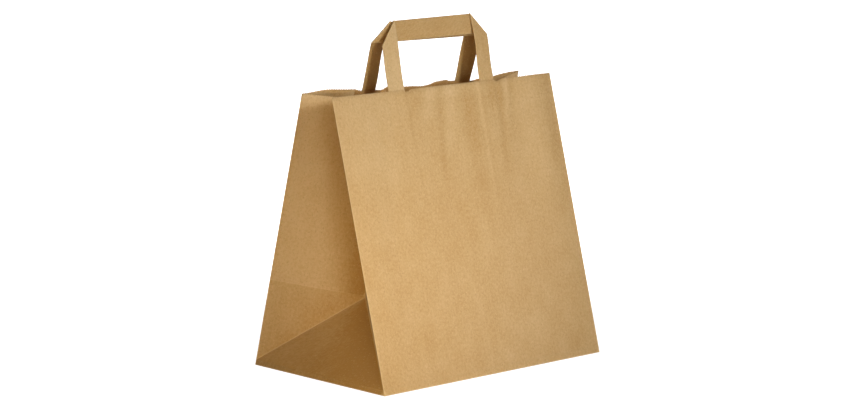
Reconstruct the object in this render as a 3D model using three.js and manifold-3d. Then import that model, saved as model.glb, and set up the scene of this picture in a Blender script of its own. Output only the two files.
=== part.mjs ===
// A kraft paper carrier bag with a block bottom, tucked side gussets and two flat tape handles.
// Millimetres, +Z up. The bag stands on z = 0 with the middle of its base at the origin,
// its front panel facing -Y and its width along X.

import * as THREE from "three";
import { ParametricGeometry } from "three/addons/geometries/ParametricGeometry.js";
import { mergeGeometries, mergeVertices } from "three/addons/utils/BufferGeometryUtils.js";
import Module from "manifold-3d";

// Bag
const bagWidth = 260; // front panel, across the base
const bagDepth = 170; // gusset, across the base
const panelHeight = 255; // paper from the base fold up to the cut rim
const mouthGap = 39; // front rim to rear rim at the corners, as the bag stands
const paper = 0.13; // thickness of the sheet
const heel = 5; // upright strip below the gusset's diagonal creases
const apexHeight = 85; // paper height where the gusset's creases meet
const creaseHeight = 81.5; // paper height where the cross crease reaches the corner folds
const frontPull = 3; // how far the handle's legs draw the front rim inwards
const frontSag = 1; // how much further the front rim sags between the legs
const rearPull = 6; // the same two on the rear rim
const rearSag = 4;
const cornerFlat = 22; // panel beside each corner fold that the handle leaves flat
const seamLap = 20; // glued lap of the tube's long seam
const flapLap = 24; // glued lap of the two base flaps
const foldBorder = 2; // paper left whole beside the base folds
const flapSlit = 0.4; // open line at the free edge of the outer flap
const glueBite = 0.03; // how far glued layers of the one sheet run into each other

// Handles, each one strip with two diagonal folds
const tapeWidth = 18;
const tapeThickness = 0.5;
const handleSpan = 128; // over the outer edges of the legs
const handleRise = 60; // rim to the top of the bar, along the leg
const handleTuck = 45; // leg glued below the rim
const foldGap = 0.4; // between the two layers at a fold
const foldOpening = THREE.MathUtils.degToRad(11); // how far a leg springs off the bar
const barGap = 0.4; // between the two bars where they lean together

// Patches that hold the legs
const patchWidth = 150;
const patchHeight = 56;
const patchThickness = 0.2;
const patchDrop = 3; // patch edge below the rim
const legMargin = 1.5; // flat patch beside and below a leg
const drapeRamp = 4; // patch that slopes from a leg down to the panel
const glueGap = 0.2; // between glued papers

// Divisions of the curved and twisted faces
const pullSteps = 8;
const sagSteps = 12;
const lowRows = 3;
const highRows = 8;
const gussetSteps = 4;
const legSteps = 8;
const foldSteps = 6;
const barSteps = 6;
const tapeSteps = 4;

const halfWidth = bagWidth / 2;
const halfDepth = bagDepth / 2;
const stiffHalf = patchWidth / 2 + legMargin;
const legOuter = handleSpan / 2;
const legInner = legOuter - tapeWidth;
const drapeFoot = legMargin + drapeRamp;
const sagHalf = legInner - drapeFoot;
const front = { pull: frontPull, sag: frontSag };
const rear = { pull: rearPull, sag: rearSag };
const matte = 0.85; // roughness of uncoated paper
const kraft = 0xc79a5e;
const tapeKraft = 0xc3995f;
const patchKraft = 0xb98a50;

const weld = 1e-3; // vertices nearer than this are one

const wasm = await Module();
wasm.setup();

// Value on the line through a list of stops, at u from 0 to 1 with equal shares between them.
function along(stops, u) {
  const place = u * (stops.length - 1);
  const from = Math.min(Math.floor(place), stops.length - 2);
  return THREE.MathUtils.lerp(stops[from], stops[from + 1], place - from);
}

// Even stops from one value to another, without the last.
function steps(from, to, count) {
  return Array.from({ length: count }, (_, i) => THREE.MathUtils.lerp(from, to, i / count));
}

// A surface over the given stops; its front is where the second direction turns left from the first.
function surface(point, acrossStops, upStops) {
  const place = (u, v, target) => point(along(acrossStops, u), along(upStops, v), target);
  return new ParametricGeometry(place, acrossStops.length - 1, upStops.length - 1);
}

// One skin from surfaces that meet edge to edge, with shared vertices and no collapsed triangles.
function joinSkin(surfaces) {
  const joined = surfaces.length > 1 ? mergeGeometries(surfaces) : surfaces[0];
  joined.deleteAttribute("normal");
  joined.deleteAttribute("uv");
  const skin = mergeVertices(joined, weld);
  const kept = [];
  const index = skin.index.array;
  for (let i = 0; i < index.length; i += 3) {
    const [a, b, c] = index.slice(i, i + 3);
    if (a !== b && b !== c && c !== a) kept.push(a, b, c);
  }
  skin.setIndex(kept);
  return skin;
}

// Normals of the triangles, and the sums over each vertex that its mitre is worked out from.
function mitreSums(position, index) {
  const sums = Array.from({ length: position.count }, () => ({
    normal: new THREE.Vector3(),
    planes: [],
  }));
  const corner = [new THREE.Vector3(), new THREE.Vector3(), new THREE.Vector3()];
  for (let i = 0; i < index.length; i += 3) {
    for (let k = 0; k < 3; k += 1) corner[k].fromBufferAttribute(position, index[i + k]);
    const normal = new THREE.Triangle(...corner).getNormal(new THREE.Vector3());
    for (let k = 0; k < 3; k += 1) {
      const toNext = corner[(k + 1) % 3].clone().sub(corner[k]);
      const toLast = corner[(k + 2) % 3].clone().sub(corner[k]);
      const angle = toNext.angleTo(toLast);
      sums[index[i + k]].normal.addScaledVector(normal, angle);
      sums[index[i + k]].planes.push({ normal, angle });
    }
  }
  return sums;
}

// The move that puts a vertex one thickness behind every face that meets there.
function mitre({ normal, planes }, thickness) {
  const straight = normal.clone().normalize().multiplyScalar(-thickness);
  const steadying = 1e-4;
  const square = new Array(9).fill(0);
  const missing = new THREE.Vector3();
  for (const plane of planes) {
    const n = plane.normal.toArray();
    for (let k = 0; k < 9; k += 1) square[k] += plane.angle * n[Math.floor(k / 3)] * n[k % 3];
    missing.addScaledVector(plane.normal, plane.angle * (-thickness - plane.normal.dot(straight)));
  }
  for (let k = 0; k < 9; k += 4) square[k] += steadying;
  const solve = new THREE.Matrix3().fromArray(square).invert();
  return straight.add(missing.applyMatrix3(solve));
}

// A sheet of the given thickness behind a skin, with its free edges closed.
function sheet(skin, thickness) {
  const position = skin.getAttribute("position");
  const index = Array.from(skin.index.array);
  const count = position.count;
  const points = Array.from(position.array);
  const point = new THREE.Vector3();
  mitreSums(position, index).forEach((sum, i) => {
    point.fromBufferAttribute(position, i).add(mitre(sum, thickness));
    points.push(point.x, point.y, point.z);
  });
  const edges = new Set();
  for (let i = 0; i < index.length; i += 3) {
    for (let k = 0; k < 3; k += 1) edges.add(`${index[i + k]},${index[i + ((k + 1) % 3)]}`);
  }
  const faces = [...index];
  for (let i = 0; i < index.length; i += 3) {
    faces.push(index[i + 2] + count, index[i + 1] + count, index[i] + count);
  }
  for (const edge of edges) {
    const [a, b] = edge.split(",").map(Number);
    if (edges.has(`${b},${a}`)) continue;
    faces.push(b, a, a + count, b, a + count, b + count);
  }
  const solid = new THREE.BufferGeometry();
  solid.setAttribute("position", new THREE.Float32BufferAttribute(points, 3));
  solid.setIndex(faces);
  return solid;
}

function toManifold(geometry) {
  const merged = joinSkin([geometry]);
  const vertProperties = new Float32Array(merged.getAttribute("position").array);
  const triVerts = new Uint32Array(merged.index.array);
  return new wasm.Manifold(new wasm.Mesh({ numProp: 3, vertProperties, triVerts }));
}

function fromManifold(solid) {
  const { vertProperties, triVerts } = solid.getMesh();
  const geometry = new THREE.BufferGeometry();
  geometry.setAttribute("position", new THREE.Float32BufferAttribute(vertProperties, 3));
  geometry.setIndex(Array.from(triVerts));
  return geometry;
}

// A flat plate between two heights, from its corners in plan.
function plate(corners, bottom, top) {
  const outline = new THREE.Shape(corners.map(([x, y]) => new THREE.Vector2(x, y)));
  const geometry = new THREE.ExtrudeGeometry(outline, { depth: top - bottom, bevelEnabled: false });
  return toManifold(geometry.translate(0, 0, bottom));
}

// Panels: every upright line of a panel stays straight and leans on the base fold. Between the
// corner folds and the legs the lean grows until the rim is drawn in, and it grows again as the
// rim sags between the legs.
const cornerReach = halfDepth - mouthGap / 2;
const cornerLean = Math.asin(cornerReach / panelHeight);

function panelLean(x, shape) {
  const drawn = 1 - THREE.MathUtils.smoothstep(Math.abs(x), stiffHalf, halfWidth - cornerFlat);
  const sagging = 1 - THREE.MathUtils.smoothstep(Math.abs(x), 0, sagHalf);
  return Math.asin((cornerReach + shape.pull * drawn + shape.sag * sagging) / panelHeight);
}

// The point at x across and s up the paper, a distance n behind the panel's outer face.
function panelPoint(x, s, n, shape, target) {
  const lean = panelLean(x, shape);
  const y = s * Math.sin(lean) + n * Math.cos(lean) - halfDepth;
  return target.set(x, y, s * Math.cos(lean) - n * Math.sin(lean));
}

const lapEdge = seamLap - halfWidth;
const sagStops = [...steps(-sagHalf, sagHalf, sagSteps), sagHalf];
const panelStops = [
  -halfWidth,
  lapEdge,
  ...steps(cornerFlat - halfWidth, -stiffHalf, pullSteps),
  -stiffHalf,
  ...sagStops,
  stiffHalf,
  ...steps(halfWidth - cornerFlat, stiffHalf, pullSteps),
  -lapEdge,
  halfWidth,
].sort((a, b) => a - b);

// Gussets: the left one, with its outer face towards -X. It folds in along its diagonals, so the
// apex keeps its paper distances to the corner fold, and so does the top end of the middle crease.
const apexRun = apexHeight - heel;
const heelY = halfDepth - heel * Math.sin(cornerLean);
const apexRise = (apexRun - heelY * Math.sin(cornerLean)) / Math.cos(cornerLean);
const apexTuck = Math.sqrt(halfDepth ** 2 + apexRun ** 2 - heelY ** 2 - apexRise ** 2);
const apex = new THREE.Vector3(apexTuck - halfWidth, 0, heel * Math.cos(cornerLean) + apexRise);
const creaseEnd = tuckedCreaseEnd();

// Where a circle round the apex meets a circle round the rim corner, on the side inside the bag.
function tuckedCreaseEnd() {
  const corner = new THREE.Vector2(-halfWidth, panelHeight * Math.cos(cornerLean));
  const cornerRadius = Math.sqrt(halfDepth ** 2 - (mouthGap / 2) ** 2);
  const apexRadius = panelHeight - apexHeight;
  const start = new THREE.Vector2(apex.x, apex.z);
  const axis = corner.clone().sub(start);
  const span = axis.length();
  axis.normalize();
  const share = (apexRadius ** 2 - cornerRadius ** 2 + span ** 2) / (2 * span);
  const aside = Math.sqrt(apexRadius ** 2 - share ** 2);
  const end = start.addScaledVector(axis, share);
  return new THREE.Vector3(end.x + aside * axis.y, 0, end.y - aside * axis.x);
}

function cornerFold(s, side, target) {
  panelPoint(-halfWidth, s, 0, front, target);
  target.y *= -side;
  return target;
}

function creasePoint(s, target) {
  return target.lerpVectors(apex, creaseEnd, (s - creaseHeight) / (panelHeight - creaseHeight));
}

// A face whose lines run straight between two edges, each a function of the height up the paper.
function ruled(firstEdge, lastEdge, columns, rowStops) {
  const first = new THREE.Vector3();
  const last = new THREE.Vector3();
  const between = (u, s, target) => target.lerpVectors(firstEdge(s, first), lastEdge(s, last), u);
  return surface(between, [...steps(0, 1, columns), 1], rowStops);
}

const heelRows = [0, heel];
const creaseRows = [...steps(heel, creaseHeight, lowRows), creaseHeight];
const upperRows = [...steps(creaseHeight, panelHeight, highRows), panelHeight];
const panelRows = [0, ...creaseRows, ...upperRows.slice(1)];

function gussetFaces() {
  const rearFold = (s, target) => cornerFold(s, 1, target);
  const frontFold = (s, target) => cornerFold(s, -1, target);
  const toApex = (s) => (s - heel) / (creaseHeight - heel);
  const rearDiagonal = (s, target) => rearFold(heel, target).lerp(apex, toApex(s));
  const frontDiagonal = (s, target) => frontFold(heel, target).lerp(apex, toApex(s));
  return [
    ruled(rearFold, frontFold, 2 * gussetSteps, heelRows),
    ruled(rearDiagonal, frontDiagonal, 2 * gussetSteps, creaseRows),
    ruled(rearFold, rearDiagonal, gussetSteps, creaseRows),
    ruled(frontDiagonal, frontFold, gussetSteps, creaseRows),
    ruled(rearFold, creasePoint, gussetSteps, upperRows),
    ruled(creasePoint, frontFold, gussetSteps, upperRows),
  ];
}

function panelFace(shape) {
  return surface((x, s, target) => panelPoint(x, s, 0, shape, target), panelStops, panelRows);
}

function baseFace() {
  const rows = [...steps(halfDepth, -halfDepth, 2 * gussetSteps), -halfDepth];
  return surface((x, y, target) => target.set(x, y, 0), panelStops, rows);
}

// The lap of the long seam, one more paper on the outside of the rear panel beside its corner fold.
function seamStrip() {
  const lift = paper - glueBite;
  const lapStops = panelStops.filter((x) => x <= lapEdge);
  const rows = [heel / 2, ...panelRows.slice(1)];
  const outside = (x, s, target) => panelPoint(x, s, -lift, rear, target);
  const strip = sheet(joinSkin([surface(outside, lapStops, rows)]), paper);
  return toManifold(strip.rotateZ(Math.PI));
}

// The block bottom. Both long flaps fold in over the tucked ends with edges at 45 degrees, so each
// end shows a sunken triangle, and the outer flap's free edge shows as a slit past the middle.
function foldBottom(body) {
  const layerX = halfWidth - foldBorder / 2;
  const layerY = halfDepth - foldBorder / 2;
  const layer = [[-layerX, -layerY], [layerX, -layerY], [layerX, layerY], [-layerX, layerY]];
  const below = -paper;
  let folded = body.add(plate(layer, paper - glueBite, 2 * paper));
  const endX = halfWidth - foldBorder;
  const endY = halfDepth - 2 * foldBorder;
  for (const side of [-1, 1]) {
    const triangle = [[side * endX, -endY], [side * endX, endY], [side * (endX - endY), 0]];
    folded = folded.subtract(plate(triangle, below, paper));
  }
  const tip = halfWidth - halfDepth;
  const edge = flapLap / 2;
  const slit = [
    [-tip, 0], [edge - tip, edge], [tip - edge, edge], [tip, 0],
    [tip, flapSlit], [tip - edge, edge + flapSlit], [edge - tip, edge + flapSlit], [-tip, flapSlit],
  ];
  return folded.subtract(plate(slit, below, paper));
}

function bagBody() {
  const skin = joinSkin([
    panelFace(front),
    panelFace(rear).rotateZ(Math.PI),
    ...gussetFaces(),
    ...gussetFaces().map((face) => face.rotateZ(Math.PI)),
    baseFace(),
  ]);
  const body = toManifold(sheet(skin, paper)).add(seamStrip());
  return fromManifold(foldBottom(body));
}

// Handle frame: x across the bag, r up the leg from the rim, n from the panel's inner face into the
// bag. Below the rim the leg lies flat on the panel; above it the leg bends so that the bars meet.
function legCurve(shape) {
  const lean = panelLean(legInner, shape);
  const rim = panelPoint(legInner, panelHeight, paper, shape, new THREE.Vector3());
  const innermost = glueGap + 2 * tapeThickness + foldGap;
  const reach = -barGap / 2 - innermost - rim.y;
  const meanLean = Math.asin(reach / handleRise);
  const bend = (2 * (lean - meanLean)) / handleRise;
  return (x, r, n, target) => {
    const turned = lean - bend * Math.max(r, 0);
    const y = r < 0 ? r * Math.sin(lean) : (Math.cos(turned) - Math.cos(lean)) / bend;
    const z = r < 0 ? r * Math.cos(lean) : (Math.sin(lean) - Math.sin(turned)) / bend;
    return target.set(x, rim.y + y + n * Math.cos(turned), rim.z + z - n * Math.sin(turned));
  };
}

// The strip's outer face. From the left leg's end it runs up to the diagonal fold, turns over,
// crosses as the bar behind the legs, turns over again and runs down the right leg.
function handleFace(shape) {
  const place = legCurve(shape);
  const turn = tapeThickness + foldGap / 2;
  const legRow = (q, v, side, target) => {
    const foldHeight = handleRise - tapeWidth + q;
    const r = along([-handleTuck, ...steps(0, foldHeight, legSteps), foldHeight], v);
    const sprung = foldOpening * ((foldHeight - r) / Math.SQRT2);
    const lift = sprung * THREE.MathUtils.smoothstep(r, 0, handleRise);
    return place(side * (legOuter - q), r, glueGap - lift, target);
  };
  const foldRow = (q, v, side, target) => {
    const out = (turn * Math.sin(Math.PI * v)) / Math.SQRT2;
    const depth = turn * (1 - Math.cos(Math.PI * v));
    const x = side * (legOuter - q + out);
    return place(x, handleRise - tapeWidth + q + out, glueGap + depth, target);
  };
  const barRow = (q, v, target) => {
    const x = THREE.MathUtils.lerp(q - legOuter, legOuter - q, v);
    return place(x, handleRise - tapeWidth + q, glueGap + 2 * turn, target);
  };
  const leg = legSteps + 1;
  const fold = leg + foldSteps;
  const rows = 2 * fold + barSteps;
  const strip = (q, row, target) => {
    const left = Math.min(row, rows - row);
    const side = row < rows / 2 ? -1 : 1;
    if (left <= leg) return legRow(q, left / leg, side, target);
    if (left <= fold) return foldRow(q, (left - leg) / foldSteps, side, target);
    return barRow(q, (row - fold) / barSteps, target);
  };
  return surface(strip, [...steps(0, tapeWidth, tapeSteps), tapeWidth], [...steps(0, rows, rows), rows]);
}

// The patch lies on the panel and steps up over the legs that it covers.
function patchFace(shape) {
  const leftStops = [-patchWidth / 2, -legOuter - drapeFoot, -legOuter - legMargin, legMargin - legInner];
  const leftCover = [0, 0, 1, 1];
  const acrossStops = [...leftStops, ...sagStops, ...leftStops.map((x) => -x).reverse()];
  const acrossCover = [...leftCover, ...sagStops.map(() => 0), ...leftCover.slice().reverse()];
  const top = panelHeight - patchDrop;
  const legEnd = panelHeight - handleTuck - legMargin;
  const upStops = [top - patchHeight, legEnd - drapeRamp, legEnd, top];
  const upCover = [0, 0, 1, 1];
  const draped = (u, v, target) => {
    const cover = along(acrossCover, u) * along(upCover, v);
    const n = paper + glueGap + cover * (tapeThickness + glueGap);
    return panelPoint(along(acrossStops, u), along(upStops, v), n, shape, target);
  };
  return new ParametricGeometry(draped, acrossStops.length - 1, upStops.length - 1);
}

function part(name, geometry, color) {
  const material = new THREE.MeshStandardMaterial({ color, roughness: matte, metalness: 0 });
  const mesh = new THREE.Mesh(geometry, material);
  mesh.name = name;
  return mesh;
}

function handleSet(side, shape) {
  const set = new THREE.Group();
  const handle = sheet(joinSkin([handleFace(shape)]), tapeThickness);
  const patch = sheet(joinSkin([patchFace(shape)]), patchThickness);
  set.add(part(`${side}_handle`, handle, tapeKraft));
  set.add(part(`${side}_handle_patch`, patch, patchKraft));
  return set;
}

const bag = new THREE.Group();
bag.add(part("bag_body", bagBody(), kraft));
bag.add(handleSet("front", front));
const rearSet = handleSet("rear", rear);
rearSet.rotation.z = Math.PI;
bag.add(rearSet);

export default bag;
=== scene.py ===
import math
from functools import partial

import bpy
import numpy as np
from mathutils import Matrix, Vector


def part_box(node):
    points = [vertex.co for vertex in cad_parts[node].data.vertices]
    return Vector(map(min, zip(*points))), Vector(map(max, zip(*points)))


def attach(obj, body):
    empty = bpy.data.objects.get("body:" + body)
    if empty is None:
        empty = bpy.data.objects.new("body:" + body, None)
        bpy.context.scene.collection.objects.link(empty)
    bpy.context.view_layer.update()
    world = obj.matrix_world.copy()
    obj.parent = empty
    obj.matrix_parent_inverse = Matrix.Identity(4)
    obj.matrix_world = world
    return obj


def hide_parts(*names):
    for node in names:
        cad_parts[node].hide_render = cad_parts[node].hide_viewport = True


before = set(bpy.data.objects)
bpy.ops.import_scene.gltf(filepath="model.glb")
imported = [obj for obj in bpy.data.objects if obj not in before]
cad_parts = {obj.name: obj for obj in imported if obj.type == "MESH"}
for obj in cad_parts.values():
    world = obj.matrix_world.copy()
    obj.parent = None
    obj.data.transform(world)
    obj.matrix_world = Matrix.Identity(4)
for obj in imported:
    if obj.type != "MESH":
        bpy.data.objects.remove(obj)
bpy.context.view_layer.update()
mm = 0.001  # lengths below are millimetres, Blender's are metres
weldGap = 0.001  # points in one cell of this size become one
weldShift = 0.37  # keeps round lengths off the borders of those cells
sharpFold = math.radians(20)  # a fold sharper than this keeps a hard edge
noFold = 9.0  # a distance to the next fold at which no crease wear or painted fold highlight shows
middle = 0.5  # mean of a noise, and halfway between two paper colours


# Shapes shared by all the paper pieces

def smooth(value, start, end):  # 3t² - 2t³ of the clamped share t from start to end
    t = np.clip((value - start) / (end - start), 0, 1)
    return t * t * (3 - 2 * t)


def blend(first, last, share):  # straight from first to last
    return first + (last - first) * share


def plateau(value, low, high, ramp):  # 1 from low to high, eased to 0 over one ramp beyond each end
    return smooth(value, low - ramp, low) * (1 - smooth(value, high, high + ramp))


def stops(*marks):  # even stops through marks of (value, steps to the next mark)
    pairs = zip(marks, marks[1:])
    runs = [np.linspace(low, high, steps, endpoint=False) for (low, steps), (high, _) in pairs]
    return np.append(np.concatenate(runs), marks[-1][0])


def cells(rows, columns):  # the four corner numbers of each cell of a grid, turning left
    corner = np.arange(rows * columns).reshape(rows, columns)
    turns = [corner[:-1, :-1], corner[:-1, 1:], corner[1:, 1:], corner[1:, :-1]]
    return np.stack(turns, -1).reshape(-1, 4)


def gridFace(points, flat, gap, tone):  # points, places on the flat paper, distances to a fold, tones
    return [points.reshape(-1, 3), flat.reshape(-1, 2), gap.ravel(), tone.ravel(), cells(*gap.shape)]


def paperFace(spot, across, up, toothTop=None):
    # the surface spot(across, up) on a grid; with toothTop, a row of pointed teeth up to that height
    faces = [gridFace(*spot(across[None, :], up[:, None]))]
    if toothTop is not None:
        tips = (across[1:] + across[:-1]) / 2
        foot = spot(across[None, :], up[-1:, None])
        tip = spot(tips[None, :], np.array([[toothTop]]))
        merged = [np.concatenate([low[0], high[0]]) for low, high in zip(foot, tip)]
        left = np.arange(len(tips))
        point = left + len(across)
        faces.append([*merged, np.stack([left, left + 1, point, point], -1)])
    return faces


def facing(faces, turn):  # turn 1 stays, -1 is half a turn about the upright axis, to the other side or end
    return [[points * [turn, turn, 1], *rest] for points, *rest in faces]


def paperObject(name, faces, thickness, material, node):
    # welds faces whose edges meet, then gives the sheet its thickness behind the outer face
    starts = np.cumsum([0] + [len(face[0]) for face in faces])
    points, flat, gap, tone = (np.concatenate([face[part] for face in faces]) for part in range(4))
    corner = np.concatenate([face[4] + start for face, start in zip(faces, starts)])
    place = np.floor(points / weldGap + weldShift).astype(np.int64)
    first, joined = np.unique(place, axis=0, return_index=True, return_inverse=True)[1:]
    welded = joined.ravel()[corner]
    keep = welded != np.roll(welded, -1, axis=1)
    whole = keep.sum(1) > 2
    keep, welded, corner = keep[whole], welded[whole], corner[whole]
    count = keep.sum(1)
    mesh = bpy.data.meshes.new(name)
    mesh.vertices.add(len(first))
    mesh.vertices.foreach_set("co", (points[first] * mm).ravel())
    mesh.loops.add(int(count.sum()))
    mesh.loops.foreach_set("vertex_index", welded[keep])
    mesh.polygons.add(len(count))
    mesh.polygons.foreach_set("loop_start", np.cumsum(count) - count)
    mesh.update(calc_edges=True)
    mesh.uv_layers.new(name="flatPaper").uv.foreach_set("vector", (flat[corner][keep] * mm).ravel())
    mesh.attributes.new("foldGap", "FLOAT", "POINT").data.foreach_set("value", gap[first])
    mesh.attributes.new("toneAndPaintedShade", "FLOAT", "POINT").data.foreach_set("value", tone[first])
    mesh.polygons.foreach_set("use_smooth", np.ones(len(count), bool))
    mesh.set_sharp_from_angle(angle=sharpFold)
    mesh.materials.append(material)
    piece = bpy.data.objects.new(name, mesh)
    bpy.context.scene.collection.objects.link(piece)
    wall = piece.modifiers.new("paper", "SOLIDIFY")
    wall.thickness = thickness * mm
    wall.offset = -1
    wall.use_even_offset = True
    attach(piece, "root")
    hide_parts(node)
    print(f"{name}: {len(count)} faces")


# Shader sockets that can be added and multiplied

class Wire:
    def __init__(self, tree, socket=None):
        self.tree = tree
        self.socket = socket

    def node(self, kind, settings, sockets, out=0):
        made = self.tree.nodes.new(kind)
        for name, value in settings.items():
            setattr(made, name, value)
        for name, value in sockets.items():
            if isinstance(value, Wire):
                self.tree.links.new(value.socket, made.inputs[name])
            else:
                made.inputs[name].default_value = value
        return Wire(self.tree, made.outputs[out] if made.outputs else None)

    def math(self, operation, first, second):
        return self.node("ShaderNodeMath", {"operation": operation}, {0: first, 1: second})

    def __add__(self, other):
        return self.math("ADD", self, other)

    def __sub__(self, other):
        return self.math("SUBTRACT", self, other)

    def __rsub__(self, other):
        return self.math("SUBTRACT", other, self)

    def __mul__(self, other):
        return self.math("MULTIPLY", self, other)

    def __truediv__(self, other):
        return self.math("DIVIDE", self, other)

    def __rtruediv__(self, other):
        return self.math("DIVIDE", other, self)

    __radd__ = __add__
    __rmul__ = __mul__

    def clamped(self):
        return self.node("ShaderNodeClamp", {}, {0: self})

    def mix(self, share, first, second):  # 6, 7 and 2 are the node's colour sockets
        return self.node("ShaderNodeMix", {"data_type": "RGBA"}, {0: share, 6: first, 7: second}, 2)

    def attribute(self, name):  # a value at the points of the piece, from the node's factor socket
        return self.node("ShaderNodeAttribute", {"attribute_name": name}, {}, 2)

    def noise(self, across, along, detail, rough):  # features per metre across and along the flat paper
        stretch = (across, along, 1.0)
        flat = self.node("ShaderNodeUVMap", {"uv_map": "flatPaper"}, {})
        scaled = self.node("ShaderNodeVectorMath", {"operation": "MULTIPLY"}, {0: flat, 1: stretch})
        sockets = {"Vector": scaled, "Scale": 1.0, "Detail": detail, "Roughness": rough}
        return self.node("ShaderNodeTexNoise", {"noise_dimensions": "2D"}, sockets)


def emptyTree(owner):  # a cleared node tree on a material or on the world
    owner.use_nodes = True
    owner.node_tree.nodes.clear()
    return Wire(owner.node_tree)


def opaque(color):  # red, green and blue with full alpha
    return (*color, 1)


# Kraft papers

pulp = {  # features per metre across and along the web, detail and roughness of the noise
    "clouds": (60, 40, 3.0, 0.6), "streaks": (260, 16, 3.0, 0.6),
    "mottle": (430, 360, 2.0, 0.6), "fibres": (1300, 900, 3.0, 0.6),
}
sheetLook = {
    # the dark end also colours the painted shade, warmed like shade lit by the brown paper round it
    "dark": (0.50, 0.287, 0.094), "pale": (0.70, 0.487, 0.246),
    "darkFleck": (0.34, 0.19, 0.066), "paleFleck": (0.80, 0.60, 0.31),
    "clouds": 0.42, "streaks": 0.12, "mottle": 0.72, "fibres": 0.52,
    "specks": (760, 560, 1.0, 0.6),  # grain of the flecks, like a layer of the pulp
    "flecks": 0.35, "fleckStart": 0.16, "fleckGain": 9,  # where the specks pass this far from their middle
    "deepShadeTone": 0.5,  # painted shade: paper toned darker than this turns to the dark fleck's colour
    # folds turn pale over this distance: crease wear and a painted highlight
    "foldLine": 1.2, "foldPale": 0.7,
    "rough": 0.78, "fibreRough": 0.14, "specular": 0.3, "bump": 0.35, "relief": 0.08,
}
tapeLook = {**sheetLook, "mottle": 0.6, "fibres": 0.45, "streaks": 0.2, "foldPale": 0.2}
patchLook = {**sheetLook, "dark": (0.41, 0.212, 0.064), "pale": (0.56, 0.300, 0.100), "foldPale": 0.1}


def kraftPaper(name, look):
    # cloudy tan pulp with streaks along the web and short fibres, then painted shade where the paper is
    # toned darkest, flecks, and folds paled by crease wear and a painted highlight
    material = bpy.data.materials.new(name)
    wire = emptyTree(material)
    layers = {part: wire.noise(*grain) for part, grain in pulp.items()}
    specks = wire.noise(*look["specks"]) - middle
    # the points' tone: streaks of the paper and, mostly, painted light and shade
    toneAndShade = wire.attribute("toneAndPaintedShade")
    tone = sum((layer - middle) * look[part] for part, layer in layers.items())
    color = wire.mix((middle + tone + toneAndShade).clamped(), opaque(look["dark"]), opaque(look["pale"]))
    # painted shade: the darkest-toned paper turns to the dark fleck's colour
    deepShade = (-look["deepShadeTone"] - toneAndShade).clamped()
    darkFleck = ((specks - look["fleckStart"]) * look["fleckGain"]).clamped() * look["flecks"]
    paleFleck = ((-look["fleckStart"] - specks) * look["fleckGain"]).clamped() * look["flecks"]
    # folds paled by crease wear and a painted highlight of the rounded fold
    foldWearAndHighlight = (1 - wire.attribute("foldGap") / look["foldLine"]).clamped() * look["foldPale"]
    for tint, shares in {"darkFleck": (deepShade, darkFleck), "paleFleck": (paleFleck, foldWearAndHighlight)}.items():
        for share in shares:
            color = wire.mix(share, color, opaque(look[tint]))
    rough = look["rough"] + look["fibreRough"] * layers["fibres"]
    height = (layers["fibres"] + layers["mottle"]) / 2
    bumpSockets = {"Strength": look["bump"], "Distance": look["relief"] * mm, "Height": height}
    normal = wire.node("ShaderNodeBump", {}, bumpSockets)
    sockets = {"Base Color": color, "Roughness": rough, "Normal": normal}
    sockets["Specular IOR Level"] = look["specular"]
    shader = wire.node("ShaderNodeBsdfPrincipled", {}, sockets)
    wire.node("ShaderNodeOutputMaterial", {}, {"Surface": shader})
    return material


kraftSheet = kraftPaper("kraft_sheet", sheetLook)
handleKraft = kraftPaper("handle_tape", tapeLook)
patchKraft = kraftPaper("patch_sheet", patchLook)
print("kraft papers mixed")


# The bag: one sheet folded into two leaning panels, two tucked gussets and the bottom

bag = {
    "mouthGap": 39.0,  # front rim to rear rim at the corners
    "heel": 5.0,  # upright strip under the gusset's diagonal folds
    "apexHeight": 85.0,  # paper height where the gusset's folds meet
    "creaseHeight": 81.5,  # paper height where the cross fold reaches the corner folds
    "creaseEdge": 0.6,  # paper over which the painted shade changes above the cross fold
    "cornerFlat": 22.0,  # flat panel beside each corner fold
    "paper": 0.13,
    "toothFoot": -0.4, "toothTip": 0.6,  # pointed teeth along the cut rim
    "lip": 14.0,  # paper below the rim that takes up its dips and lips
    "bowFoot": 40.0,  # paper above the cross fold over which the gusset's bow grows
    "lineEase": 0.45,  # share of a ridge or band over which it fades at an end
    "bottomLift": 0.7, "bottomRamp": 5.0,  # the floor of the bag lies on its folded flaps
    "columns": 160, "gussetColumns": 39, "lowRows": 18, "highRows": 44,
}
slack = {  # how far the slack paper stands out, and where
    "wave": 0.16, "waveAcross": 11.0, "waveUp": 60.0, "waveDrift": 90.0, "wavePhase": 0.6,
    "leg": 0.35, "legRamp": 1.6, "footLow": 2.0, "footHigh": 1.0,  # a leg that shows through, and its foot
    "patch": 0.08, "patchRamp": 1.0, "patchFoot": (60.0, 57.0),  # the patch that shows through
    "twistRamp": 6.0, "twistFade": (75.0, 5.0),  # paper that a leg's twist pulls along, beside and below it
    "cornerCalm": 14.0, "baseCalm": 16.0,  # the folds hold the paper beside them flat
}
tape = {
    "width": 18.0, "thickness": 0.5, "span": 127.0,
    "tuck": 45.0, "tuckRows": 0.4,  # leg glued below the rim, and its share of the rows
    "foldGap": 0.4, "glueGap": 0.2, "barGap": 0.4,
    "hem": 5.4,  # the folded-over ply ends this far from one edge
    "hemStep": 0.1, "hemRamp": 0.2, "hemColumns": 4, "plainColumns": 9,
    "openShare": 0.8,  # a leg's opening eases in from the rim over this share of its rise
    "freeLeg": 18.0,  # above this a leg no longer follows the panel
    "foldCalm": 14.0,  # the fold holds a leg untwisted near it
    "barEnd": 0.72,  # share of the half bar where it goes behind a leg
    "slipFoot": 10.0, "tiltGain": 3.0,  # how low the slip begins, and how soon the tilt is full
    "legRows": 40, "foldRows": 8, "barRows": 40,
}
patch = {
    "height": 56.0, "thickness": 0.2, "drop": 1.0, "margin": 1.5, "ramp": 4.0, "lip": 10.0,
    "columns": 100, "rows": 30,
}

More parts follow.
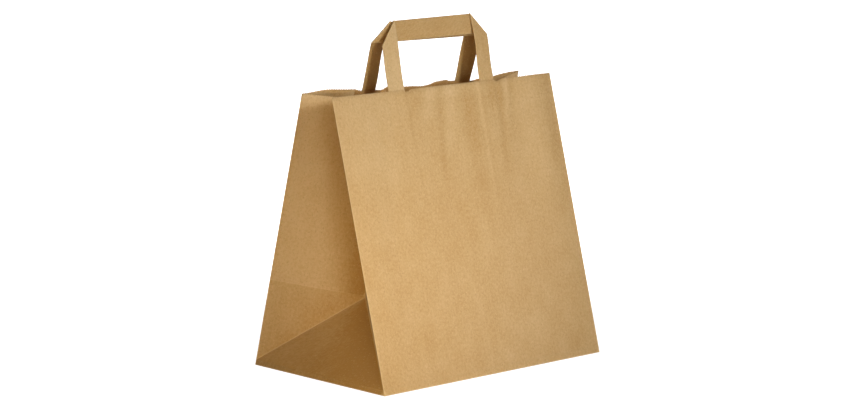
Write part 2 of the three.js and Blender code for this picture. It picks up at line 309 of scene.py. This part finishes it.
halfWidth, halfDepth, rimHeight = np.array(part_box("bag_body")[1]) / mm
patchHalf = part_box("front_handle_patch")[1][0] / mm
cornerReach = halfDepth - bag["mouthGap"] / 2
panelHeight = math.hypot(cornerReach, rimHeight)
legOuter = tape["span"] / 2
legInner = legOuter - tape["width"]
stiffHalf = patchHalf + patch["margin"]
sagHalf = legInner - patch["margin"] - patch["ramp"]
toothFoot = panelHeight + bag["toothFoot"]
toothTip = panelHeight + bag["toothTip"]
legFoot = panelHeight - tape["tuck"]

# ridges and bands run from (x, below the rim) to (x, below the rim): half width, then height or tone; a
# band's tone is partly a streak in the paper and partly painted shade and highlight of the wrinkles and leg
# edges
# rim: from, to, ramps and rise; twist and opening are degrees for the left and right leg
# slip and spread are the handle's shift and extra half span, at the rim and at the bar
# steep is how far the left and right fold drop for each step across the strip
# legTone is painted light and shade for the left and right leg, each at the rim and at the top of the
# handle; barTone is painted shade on the bar
frontPanel = {
    "turn": 1, "pull": 3.0, "sag": 1.0,
    "rise": 60.6,  # rim to the top of the bar, along a leg
    "twist": (2, 3.5), "opening": (1, 7), "slip": (0, 2.8), "spread": (-0.9, -0.9), "tilt": 0.0,
    "steep": (1.2, 1.1), "legTone": ((0.38, 0.32), (0.0, -0.05)), "barTone": -0.2,
    "ridges": [
        (-9, 0, -24, 95, 8, 0.7), (15, 0, 8, 80, 11, 0.9), (62, 0, 50, 90, 7, 0.5),
        (79, 0, 72, 50, 4, 0.35), (113, 0, 112, 105, 13, 1.1), (-86, 0, -90, 120, 12, 0.6),
        (24, 105, 25, 165, 8, 0.4), (-71, 185, -72, 240, 7, 0.35), (-22, 215, -20, 250, 7, 0.35),
        (64, 190, 62, 245, 8, 0.35),
    ],
    "bands": [
        (12, 0, 12, 14, 34, 0.16), (-98, 0, -98, 95, 40, 0.16), (0, 70, 0, 170, 45, -0.12),
        (-44, 0, -43, 110, 2.2, -0.16), (-37, 0, -38, 30, 8, -0.2), (-14, 0, -27, 34, 6, 0.22),
        (-3, 0, -21, 105, 4.5, -0.2), (9, 0, -4, 68, 6, 0.2), (28, 0, 27, 105, 9, -0.2),
        (41.5, 0, 39.5, 125, 1.7, 0.2), (45, 0, 43, 120, 1.8, -0.11), (69, 0, 56, 105, 4.5, -0.2),
        (59, 0, 57, 26, 7, -0.14), (77, 0, 68, 48, 3, 0.22), (82, 0, 81, 20, 4, -0.16),
        (98, 0, 98, 130, 13, 0.14), (122, 0, 121, 130, 6, -0.14), (18, 112, 18, 165, 9, 0.16),
        (-66, 190, -66, 240, 8, -0.12), (-16, 225, -16, 253, 8, -0.16), (106, 225, 106, 253, 8, -0.16),
        (21, 235, 21, 253, 8, 0.16), (58, 205, 58, 250, 8, 0.14),
    ],
    "rim": [(-45.5, -40, 0.5, 3, -1.6), (64.5, 69, 0.5, 3, -1.8)],
}
rearPanel = {
    "turn": -1, "pull": 6.0, "sag": 4.0,
    "rise": 59.3,
    "twist": (3.5, 9.0), "opening": (8, 12), "slip": (3.0, -2.0), "spread": (1.7, 1.7), "tilt": 0.018,
    "steep": (1.0, 1.0), "legTone": ((-0.4, -1.25), (-0.55, -1.15)), "barTone": -0.3,
    "ridges": [
        (-70, 0, -78, 120, 8, 0.6), (-40, 0, -34, 150, 9, -0.6), (-12, 0, -14, 110, 9, 0.7),
        (20, 0, 28, 140, 8, -0.5), (38, 0, 36, 90, 7, 0.5), (84, 0, 92, 130, 9, 0.6),
        (-100, 150, -96, 250, 9, 0.4), (50, 180, 52, 250, 8, 0.4),
    ],
    "bands": [
        # the first band is painted shade along the top of the rear panel
        (-35, 0, -35, 14, 95, -0.4), (-76, 0, -84, 110, 6, 0.16), (-48, 0, -42, 140, 7, -0.18),
        (-20, 0, -22, 100, 6, 0.16), (10, 0, 18, 130, 7, -0.14), (30, 0, 29, 90, 5, 0.18),
        (92, 0, 100, 120, 8, -0.16), (76, 0, 84, 120, 6, 0.14), (-40, 200, -40, 250, 9, -0.14),
    ],
    "rim": [
        (-96, -78, 34, 12, 1.6), (-51, -42, 3, 5, -2.2), (2, 12, 14, 8, -0.8), (17, 34, 8, 0.5, 0.8),
        (50, 140, 20, 1, -1.7), (66, 96, 12, 30, -1.4),
    ],
}
bothSides = {"front": frontPanel, "rear": rearPanel}


def panelLean(x, panel):  # the rim is drawn in where the handle stiffens it and sags between the legs
    drawn = 1 - smooth(np.abs(x), stiffHalf, halfWidth - bag["cornerFlat"])
    sagging = 1 - smooth(np.abs(x), 0, sagHalf)
    return np.arcsin((cornerReach + panel["pull"] * drawn + panel["sag"] * sagging) / panelHeight)


def panelSpot(x, up, out, panel):  # straight lines up the leaning paper, out from its outer face
    lean = panelLean(x, panel)
    y = up * np.sin(lean) - out * np.cos(lean) - halfDepth
    z = up * np.cos(lean) + out * np.sin(lean)
    return np.stack(np.broadcast_arrays(x + 0 * y, y, z), -1)


def slipped(x, panel):  # where a point of the strip lies below the rim after its slip and spread
    return x * (1 + panel["spread"][0] / legOuter) + panel["slip"][0]


def unslipped(x, panel):  # the point of the strip that lies at x below the rim
    return (x - panel["slip"][0]) / (1 + panel["spread"][0] / legOuter)


def legTwist(x, panel):  # the legs stand a little twisted, inner edge out and outer edge in
    out = 0 * x
    for side, angle in zip((-1, 1), panel["twist"]):
        inward = (legInner + legOuter) / 2 - side * x
        beside = plateau(side * x, legInner, legOuter, slack["twistRamp"])
        out = out + math.tan(math.radians(angle)) * inward * beside
    return out


def along(lines, x, up):  # bell-shaped across each line, eased in and out at its ends but not at the rim
    below = panelHeight - up
    total = 0 * (x + up)
    for startX, start, endX, end, half, size in lines:
        ease = bag["lineEase"] * (end - start)
        inside = plateau(below, start + ease if start > 0 else -panelHeight, end - ease, ease)
        aside = x - startX - (endX - startX) * (below - start) / (end - start)
        total = total + size * np.exp(-((aside / half) ** 2)) * inside
    return total


def furrowed(x, up, panel):  # ridges in the slack paper, and the legs and the patch that show through it
    below = panelHeight - up
    strip = unslipped(x, panel)
    legs = plateau(np.abs(strip), legInner, legOuter, slack["legRamp"])
    legs = legs * smooth(up, legFoot - slack["footLow"], legFoot + slack["footHigh"])
    sheet = 1 - smooth(np.abs(x), patchHalf - slack["patchRamp"], patchHalf + slack["patchRamp"])
    sheet = sheet * smooth(below, *slack["patchFoot"])
    wave = np.sin(x / slack["waveAcross"] + slack["wavePhase"])
    wave = wave * np.sin(up / slack["waveUp"] + x / slack["waveDrift"])
    out = along(panel["ridges"], x, up) + legTwist(strip, panel) * smooth(below, *slack["twistFade"])
    calm = smooth(halfWidth - np.abs(x), 0, slack["cornerCalm"]) * smooth(up, 0, slack["baseCalm"])
    return (out + slack["leg"] * legs + slack["patch"] * sheet + slack["wave"] * wave) * calm


def rimRise(x, rim, turn):  # torn dips and raised lips along a cut edge
    across = turn * x
    rise = 0 * x
    for low, high, before, after, step in rim:
        rise = rise + step * smooth(across, low - before, low) * (1 - smooth(across, high, high + after))
    return rise


def lipShare(up):  # the last stretch of paper below the rim takes up the rim's profile
    return smooth(up, panelHeight - bag["lip"], toothFoot)


def lipRise(x, up, panel):  # the rim's rise times the share of it that is taken up at this height
    return rimRise(x, panel["rim"], panel["turn"]) * lipShare(up)


def panelFace(panel):  # the leaning panel with its furrows, and teeth along the rim
    def spot(x, up):
        points = panelSpot(x, up + lipRise(x, up, panel), furrowed(x, up, panel), panel)
        flat = np.stack(np.broadcast_arrays(x, up), -1)
        gap = np.minimum(halfWidth - np.abs(x), up)
        # the bands' tone: paper streaks, and painted shade and highlight of the wrinkles
        return points, flat, gap, along(panel["bands"], x, up)

    across = np.linspace(-halfWidth, halfWidth, bag["columns"] + 1)
    return facing(paperFace(spot, across, panelRows, toothTip), panel["turn"])


creaseStep = bag["creaseHeight"] + bag["creaseEdge"]
lowStops = (0, 1), (bag["heel"], bag["lowRows"]), (bag["creaseHeight"], 1)
panelRows = stops(*lowStops, (creaseStep, bag["highRows"] - 1), (toothFoot, 0))
heelRows = panelRows[:2]
lowRows = panelRows[1:bag["lowRows"] + 2]
highRows = panelRows[bag["lowRows"] + 1:]

# the gusset's apex keeps its paper distance to the base corners, and its crease end to the rim corner
cornerLean = math.asin(cornerReach / panelHeight)
apexRun = bag["apexHeight"] - bag["heel"]
heelY = halfDepth - bag["heel"] * math.sin(cornerLean)
apexRise = (apexRun - heelY * math.sin(cornerLean)) / math.cos(cornerLean)
apexTuck = math.sqrt(halfDepth ** 2 + apexRun ** 2 - heelY ** 2 - apexRise ** 2)
apex = np.array([apexTuck - halfWidth, 0, bag["heel"] * math.cos(cornerLean) + apexRise])


def creaseEnd():  # where a circle round the apex meets a circle round the rim corner, inside the bag
    corner = np.array([-halfWidth, rimHeight])
    start = apex[[0, 2]]
    span = np.linalg.norm(corner - start)
    axis = (corner - start) / span
    reach = panelHeight - bag["apexHeight"]
    share = (reach ** 2 - (halfDepth ** 2 - (bag["mouthGap"] / 2) ** 2) + span ** 2) / (2 * span)
    aside = math.sqrt(reach ** 2 - share ** 2)
    x, z = start + share * axis + aside * np.array([axis[1], -axis[0]])
    return np.array([x, 0, z])


creaseTop = creaseEnd()

# bow is the bulge at the middle of a face; tone is painted shade and light, going from its rear fold to its
# front one by a power curve, darkest towards the middle crease and the front corner
gussetLook = {
    "heel": {"bow": (0, 0, 0), "tone": (0.0, -0.75, 1)},
    "lowTriangle": {"bow": (0, 0, 0), "tone": (0.1, -0.9, 1)},
    "rearSide": {"bow": (0, 0, 0), "tone": (0.2, -0.25, 1)},
    "frontSide": {"bow": (0, 0, 0), "tone": (-0.1, 0.1, 1)},
    "rearHalf": {"bow": (-0.5, -0.5, 0), "tone": (0.42, -0.8, 3.5)},
    "frontHalf": {"bow": (-0.5, 0.5, 0), "tone": (-0.5, 0.3, 0.45)},
}


def cornerFold(up, side):  # side -1 is the front fold and 1 the rear one, both at the left end
    return panelSpot(-halfWidth, up, 0, frontPanel) * [1, -side, 1]


def diagonal(up, side):  # the fold from a heel corner to the apex
    share = (up - bag["heel"]) / (bag["creaseHeight"] - bag["heel"])
    return blend(cornerFold(np.array(bag["heel"]), side), apex, share[..., None])


def middleCrease(up):  # the fold from the apex up
    share = (up - bag["creaseHeight"]) / (panelHeight - bag["creaseHeight"])
    return blend(apex, creaseTop, share[..., None])


def gussetFace(part, first, last, rows, widths, flatStart=0, toothTop=None, rise=0):
    # straight lines between two folds, bowed a little between them; widths of paper at the foot and the top
    look = gussetLook[part]
    begin, end, curve = look["tone"]

    def spot(share, up):
        points = blend(first(up), last(up + rise * lipShare(up)), share[..., None])
        bulge = np.sin(np.pi * share) * smooth(up, rows[0], rows[0] + bag["bowFoot"])
        points = points + bulge[..., None] * np.array(look["bow"])
        across = blend(*widths, (up - rows[0]) / (rows[-1] - rows[0]))
        flat = np.stack(np.broadcast_arrays(flatStart + share * across, up), -1)
        gap = np.minimum(np.minimum(share, 1 - share) * across, np.abs(up - rows[0]) + 0 * share)
        # painted shade and light across the face
        return points, flat, gap, blend(begin, end, share ** curve) + 0 * gap

    columns = bag["gussetColumns"] * round(max(widths) / halfDepth)
    return paperFace(spot, np.linspace(0, 1, columns + 1), rows, toothTop)


def gusset(frontRise):  # the gusset of the left end; frontRise is its rim's rise at the front fold
    front, rear = partial(cornerFold, side=-1), partial(cornerFold, side=1)
    frontCut, rearCut = partial(diagonal, side=-1), partial(diagonal, side=1)
    full, half = 2 * halfDepth, halfDepth
    return [
        *gussetFace("heel", rear, front, heelRows, (full, full)),
        *gussetFace("lowTriangle", rearCut, frontCut, lowRows, (full, 0)),
        *gussetFace("rearSide", rear, rearCut, lowRows, (0, half)),
        *gussetFace("frontSide", frontCut, front, lowRows, (0, half), half),
        *gussetFace("rearHalf", rear, middleCrease, highRows, (half, half), 0, toothTip),
        *gussetFace("frontHalf", middleCrease, front, highRows, (half, half), half, toothTip, frontRise),
    ]


def bottomFloor():  # the floor rises from the base folds onto the folded flaps
    def spot(x, y):
        edge = np.minimum(halfWidth - np.abs(x), halfDepth - np.abs(y))
        z = bag["bottomLift"] * smooth(edge, 0, bag["bottomRamp"])
        points = np.stack(np.broadcast_arrays(x, y, z), -1)
        return points, points[..., :2], edge, 0 * edge

    across = np.linspace(-halfWidth, halfWidth, bag["columns"] + 1)
    return paperFace(spot, across, np.linspace(halfDepth, -halfDepth, 2 * bag["gussetColumns"] + 1))


rearRightRise = float(rimRise(np.array(-halfWidth), rearPanel["rim"], rearPanel["turn"]))
gussets = gusset(0) + facing(gusset(rearRightRise), -1)
bagFaces = panelFace(frontPanel) + panelFace(rearPanel) + gussets + bottomFloor()
paperObject("bag_sheet", bagFaces, bag["paper"], kraftSheet, "bag_body")


# Glued laps: the long seam beside a rear corner and the flaps of the block bottom

lap = {
    "seam": 20.0, "seamLift": 0.16, "seamInset": 0.3, "seamFoot": 1.5, "seamColumns": 10,
    "flapOver": 12.0, "flapStep": 0.25, "flapInset": 0.4, "flapRows": 24,
    "flapRise": (2.0, 55.0),  # from the base fold, where a flap climbs onto the other
}


def seamStrip():  # one more paper outside the rear panel, along its corner fold
    def spot(x, up):
        out = furrowed(x, up, rearPanel) + lap["seamLift"]
        points = panelSpot(x, up + lipRise(x, up, rearPanel), out, rearPanel)
        return points, np.stack(np.broadcast_arrays(x, up), -1), noFold + 0 * out, 0 * out

    across = np.linspace(lap["seamInset"] - halfWidth, lap["seam"] - halfWidth, lap["seamColumns"] + 1)
    rows = np.append(lap["seamFoot"], panelRows[1:])
    return facing(paperFace(spot, across, rows, toothTip), rearPanel["turn"])


def bottomFlap(turn, lift):  # a trapezium with ends at 45 degrees, from a base fold to past the middle
    def spot(share, y):
        half = halfWidth - halfDepth - y
        height = lift * smooth(halfDepth + y, *lap["flapRise"]) + 0 * share
        points = np.stack(np.broadcast_arrays(share * half, y, height), -1)
        return points, points[..., :2], lap["flapOver"] - y + 0 * share, 0 * height

    rows = np.linspace(lap["flapOver"], lap["flapInset"] - halfDepth, lap["flapRows"] + 1)
    return facing(paperFace(spot, np.linspace(-1, 1, 2 * lap["flapRows"] + 1), rows), turn)


paperObject("seam_lap", seamStrip(), bag["paper"], kraftSheet, "bag_body")
flaps = bottomFlap(1, 0.0) + bottomFlap(-1, lap["flapStep"])
paperObject("bottom_flaps", flaps, bag["paper"], kraftSheet, "bag_body")


# Handles: one flat strip each, turned over a diagonal fold at both top corners

def legCurve(panel):  # straight below the rim, an arc above it that brings the two bars together
    lean = float(panelLean(np.array(legInner), panel))
    rim = panelSpot(np.array(legInner), panelHeight, -bag["paper"], panel)
    innermost = tape["glueGap"] + 2 * tape["thickness"] + tape["foldGap"]
    reach = -tape["barGap"] / 2 - innermost - rim[1]
    bend = 2 * (lean - math.asin(reach / panel["rise"])) / panel["rise"]

    def place(x, up, inward):  # up from the rim along the curve, then inward from it
        angle = lean - bend * np.maximum(up, 0)
        y = np.where(up < 0, up * math.sin(lean), (np.cos(angle) - math.cos(lean)) / bend)
        z = np.where(up < 0, up * math.cos(lean), (math.sin(lean) - np.sin(angle)) / bend)
        y = rim[1] + y + inward * np.cos(angle)
        z = rim[2] + z - inward * np.sin(angle)
        return np.stack(np.broadcast_arrays(x, y, z), -1)

    return place


def handleStrip(panel):
    # rows of points across the strip, along it: up a leg, over the fold, along the bar and back down
    place = legCurve(panel)
    rise, glue, width = panel["rise"], tape["glueGap"], tape["width"]
    hemLow, hemHigh = tape["hem"] - tape["hemRamp"], tape["hem"] + tape["hemRamp"]
    hemStops = (0, tape["hemColumns"]), (hemLow, 1), (hemHigh, tape["plainColumns"])
    across = stops(*hemStops, (width, 0))[None, :]
    hem = tape["hemStep"] * (1 - smooth(across, hemLow, hemHigh))
    edge = np.minimum(across, width - across)
    outward = legOuter - across
    radius = tape["thickness"] + tape["foldGap"] / 2

    def foldHeight(steep):  # a diagonal from the top of the inner edge down to the outer edge
        return rise - steep * (width - across)

    def leg(side, opening, steep, tones):  # up the curve, lifted off it by opening, furrows and twist
        rimRow = tape["tuckRows"]
        share = np.linspace(0, 1, tape["legRows"] + 1)[:, None]
        aboveRim = foldHeight(steep) * (share - rimRow) / (1 - rimRow)
        up = np.where(share < rimRow, tape["tuck"] * (share / rimRow - 1), aboveRim)
        x = side * outward
        fromFold = (foldHeight(steep) - up) / math.sqrt(2)
        free = smooth(up, 0, tape["freeLeg"])
        lift = math.radians(opening) * fromFold * smooth(up, 0, tape["openShare"] * rise)
        lift = lift + furrowed(slipped(x, panel), panelHeight + np.minimum(up, 0), panel) * (1 - free)
        lift = lift + legTwist(x, panel) * free * smooth(fromFold, 0, tape["foldCalm"])
        gap = np.minimum(edge, fromFold)
        # the leg's tone is painted light and shade, from the rim to its top
        return place(x, up, glue - lift - hem), up, gap, blend(*tones, smooth(up, 0, rise))

    def fold(side, steep):  # half a turn about the diagonal
        angle = np.linspace(0, 1, tape["foldRows"] + 1)[1:-1, None] * math.pi
        out = radius * np.sin(angle) / math.sqrt(2)
        over = radius - (radius + hem) * np.cos(angle)
        up = foldHeight(steep) + out
        return place(side * (outward + out), up, glue + over), up, 0 * over, 0 * over

    def bar():  # level, but it drops with the folds where the legs hide it
        share = np.linspace(-1, 1, tape["barRows"] + 1)[:, None]
        x = share * outward
        steep = blend(1, np.where(share < 0, *panel["steep"]), smooth(np.abs(share), tape["barEnd"], 1))
        gap = np.minimum(edge, (outward - np.abs(x)) / math.sqrt(2))
        points = place(x, foldHeight(steep), glue + 2 * radius + hem)
        # the bar's tone is painted shade
        return points, rise + outward + x, gap, panel["barTone"] + 0 * gap

    left, right = (leg(*end) for end in zip((-1, 1), panel["opening"], panel["steep"], panel["legTone"]))
    leftFold, rightFold = (fold(*end) for end in zip((-1, 1), panel["steep"]))
    down = [rows[::-1] for rows in rightFold], [rows[::-1] for rows in right]
    points, run, gap, tone = (np.concatenate(rows) for rows in zip(left, leftFold, bar(), *down))
    flat = np.stack(np.broadcast_arrays(across, run), -1)
    above = smooth(points[..., 2], rimHeight - tape["slipFoot"], rimHeight + rise)
    points[..., 2] += panel["tilt"] * points[..., 0] * np.minimum(tape["tiltGain"] * above, 1)
    slip, spread = (blend(*ends, above) for ends in (panel["slip"], panel["spread"]))
    points[..., 0] += slip + spread * points[..., 0] / legOuter
    return facing([gridFace(points, flat, gap, tone)], panel["turn"])


for side, panel in bothSides.items():
    name = f"{side}_handle"
    paperObject(f"{name}_tape", handleStrip(panel), tape["thickness"], handleKraft, name)


# Patches: a sheet glued over the legs inside each panel

patchRim = {  # from, to, ramps and rise, like a panel's rim
    "front": [(-71, -64.5, 1.5, 1.5, 3.6), (41, 45.5, 1.5, 1, 3.4)],
    "rear": [(-30, -26, 2, 2, 0.7), (-12, -6, 3, 2, 0.6), (44, 47, 1, 2, 0.7)],
}


def patchSheet(side, panel):  # the panel's surface set in by its paper, and further in over the legs
    top = panelHeight - patch["drop"]
    coverFoot = legFoot - patch["margin"]

    def spot(x, up):
        strip = np.abs(unslipped(x, panel))
        cover = plateau(strip, legInner - patch["margin"], legOuter + patch["margin"], patch["ramp"])
        cover = cover * smooth(up, coverFoot - patch["ramp"], coverFoot)
        depth = bag["paper"] + tape["glueGap"] + cover * (tape["thickness"] + tape["glueGap"])
        bump = rimRise(x, patchRim[side], panel["turn"]) * smooth(up, top - patch["lip"], top)
        height = up + lipRise(x, up + patch["drop"], panel) + bump
        points = panelSpot(x, height, furrowed(x, up, panel) - depth, panel)
        gap = np.minimum(patchHalf - np.abs(x), top - up) + noFold
        return points, np.stack(np.broadcast_arrays(x, up), -1), gap, 0 * gap

    across = np.linspace(-patchHalf, patchHalf, patch["columns"] + 1)
    rows = np.linspace(top - patch["height"], top, patch["rows"] + 1)
    return facing(paperFace(spot, across, rows), panel["turn"])


for side, panel in bothSides.items():
    faces = patchSheet(side, panel)
    node = f"{side}_handle_patch"
    paperObject(f"{side}_patch", faces, patch["thickness"], patchKraft, node)


# Stage: white floor that keeps a faint shadow, white surround, soft lamps and the camera

stage = {
    "floorSize": 6000.0, "floorDrop": 0.05, "floorTone": (0.35, 0.35, 0.35), "bounce": 0.03,
    "ambient": 0.075, "ambientTint": (1.0, 0.55, 0.22), "white": (1, 1, 1),
    "shadowShare": 0.4, "shadowReach": 260.0, "glow": 1.7,
}
lamps = {
    "key": {
        "azimuth": -1, "elevation": 24, "distance": 580, "size": 100, "power": 1.52, "aim": 170,
        "color": (0.94, 1.0, 1.06),
    },
    "front": {
        "azimuth": 4, "elevation": 45, "distance": 1200, "size": 900, "power": 1.5, "aim": 140,
        "color": (1.0, 0.93, 0.78),
    },
    "beam": {
        "azimuth": -26, "elevation": 5, "distance": 1150, "size": 260, "power": 0.052, "aim": 110,
        "color": (0.94, 1.0, 1.08), "spread": 24,
    },
    "low": {
        "azimuth": -32, "elevation": 3, "distance": 1150, "size": 260, "power": 0.036, "aim": 56,
        "color": (0.94, 1.0, 1.08), "spread": 20,
    },
    "left": {
        "azimuth": -56, "elevation": 3, "distance": 520, "size": 220, "power": 0.33, "aim": 45,
        "color": (1.0, 0.775, 0.42), "spread": 100,
    },
    "right": {"azimuth": 108, "elevation": 14, "distance": 1200, "size": 900, "power": 5.0, "aim": 123},
    "rear": {"azimuth": 165, "elevation": 25, "distance": 1200, "size": 900, "power": 7.0, "aim": 123},
}
plainLamp = {"spread": 180, "color": (1, 1, 1)}
shot = {
    "azimuth": -42.925, "elevation": 9.359, "distance": 2679.2, "across": -1.81, "height": 138.14,
    "lens": 128.12, "sensor": 36,
}


def compass(azimuth, elevation):  # unit vector from the bag towards a viewer at these angles
    turn, climb = math.radians(azimuth), math.radians(elevation)
    level = math.cos(climb)
    return np.array([math.sin(turn) * level, -math.cos(turn) * level, math.sin(climb)])


def aimed(name, data, place, target):  # a lamp or camera at a place, looking at the target, level
    item = bpy.data.objects.new(name, data)
    bpy.context.scene.collection.objects.link(item)
    back = (place - target) / np.linalg.norm(place - target)
    right = np.cross([0, 0, 1], back)
    right = right / np.linalg.norm(right)
    up = np.cross(back, right)
    matrix = np.eye(4)
    matrix[:3, :4] = np.stack([right, up, back, place * mm], -1)
    item.matrix_world = Matrix(matrix)
    return item


def seenRay(wire):  # 1 for rays from the camera or off a shiny surface, 0 for light on its way round
    names = ("Is Camera Ray", "Is Glossy Ray")
    return wire.math("MAXIMUM", *(wire.node("ShaderNodeLightPath", {}, {}, name) for name in names))


def floorMaterial():  # lit by the lamps near the bag, plain white further off
    material = bpy.data.materials.new("floor_white")
    wire = emptyTree(material)
    matt = wire.node("ShaderNodeBsdfDiffuse", {}, {"Color": opaque(stage["floorTone"])})
    glow = wire.node("ShaderNodeEmission", {}, {"Strength": stage["bounce"]})
    lit = wire.node("ShaderNodeAddShader", {}, {0: matt, 1: glow})
    white = wire.node("ShaderNodeEmission", {}, {"Strength": stage["glow"]})
    place = wire.node("ShaderNodeTexCoord", {}, {}, "Object")
    away = wire.node("ShaderNodeVectorMath", {"operation": "LENGTH"}, {0: place}, "Value")
    near = (2 - away / (stage["shadowReach"] * mm)).clamped()  # 1 within the reach, 0 from twice as far
    share = seenRay(wire) * (1 - near * stage["shadowShare"])
    mixed = wire.node("ShaderNodeMixShader", {}, {0: share, 1: lit, 2: white})
    wire.node("ShaderNodeOutputMaterial", {}, {"Surface": mixed})
    return material


def floor():  # a level square just under the bag
    half = stage["floorSize"] / 2 * mm
    corners = [(-half, -half), (half, -half), (half, half), (-half, half)]
    mesh = bpy.data.meshes.new("floor")
    mesh.from_pydata([(x, y, -stage["floorDrop"] * mm) for x, y in corners], [], [(0, 1, 2, 3)])
    mesh.materials.append(floorMaterial())
    plane = bpy.data.objects.new("floor", mesh)
    bpy.context.scene.collection.objects.link(plane)


def surround():  # white to the camera, a dim warm light to the paper
    world = bpy.data.worlds.new("surround")
    wire = emptyTree(world)
    dimSockets = {"Color": opaque(stage["ambientTint"]), "Strength": stage["ambient"]}
    dim = wire.node("ShaderNodeBackground", {}, dimSockets)
    white = wire.node("ShaderNodeBackground", {}, {"Color": opaque(stage["white"]), "Strength": 1.0})
    sky = wire.node("ShaderNodeMixShader", {}, {0: seenRay(wire), 1: dim, 2: white})
    wire.node("ShaderNodeOutputWorld", {}, {"Surface": sky})
    bpy.context.scene.world = world


for name, lamp in lamps.items():
    lamp = {**plainLamp, **lamp}
    light = bpy.data.lights.new(f"{name}_lamp", "AREA")
    light.size = lamp["size"] * mm
    light.energy = lamp["power"]
    light.spread = math.radians(lamp["spread"])
    light.color = lamp["color"]
    aim = np.array([0, 0, lamp["aim"]])
    aimed(f"{name}_lamp", light, aim + compass(lamp["azimuth"], lamp["elevation"]) * lamp["distance"], aim)
floor()
surround()
print("stage lit")

back = compass(shot["azimuth"], shot["elevation"])
right = compass(shot["azimuth"] + 90, 0)
target = right * shot["across"] + np.array([0, 0, shot["height"]])
camera = bpy.data.cameras.new("camera")
camera.lens = shot["lens"]
camera.sensor_width = shot["sensor"]
bpy.context.scene.camera = aimed("camera", camera, target + back * shot["distance"], target)
bpy.context.scene.view_settings.view_transform = "Standard"

print("bag finished")
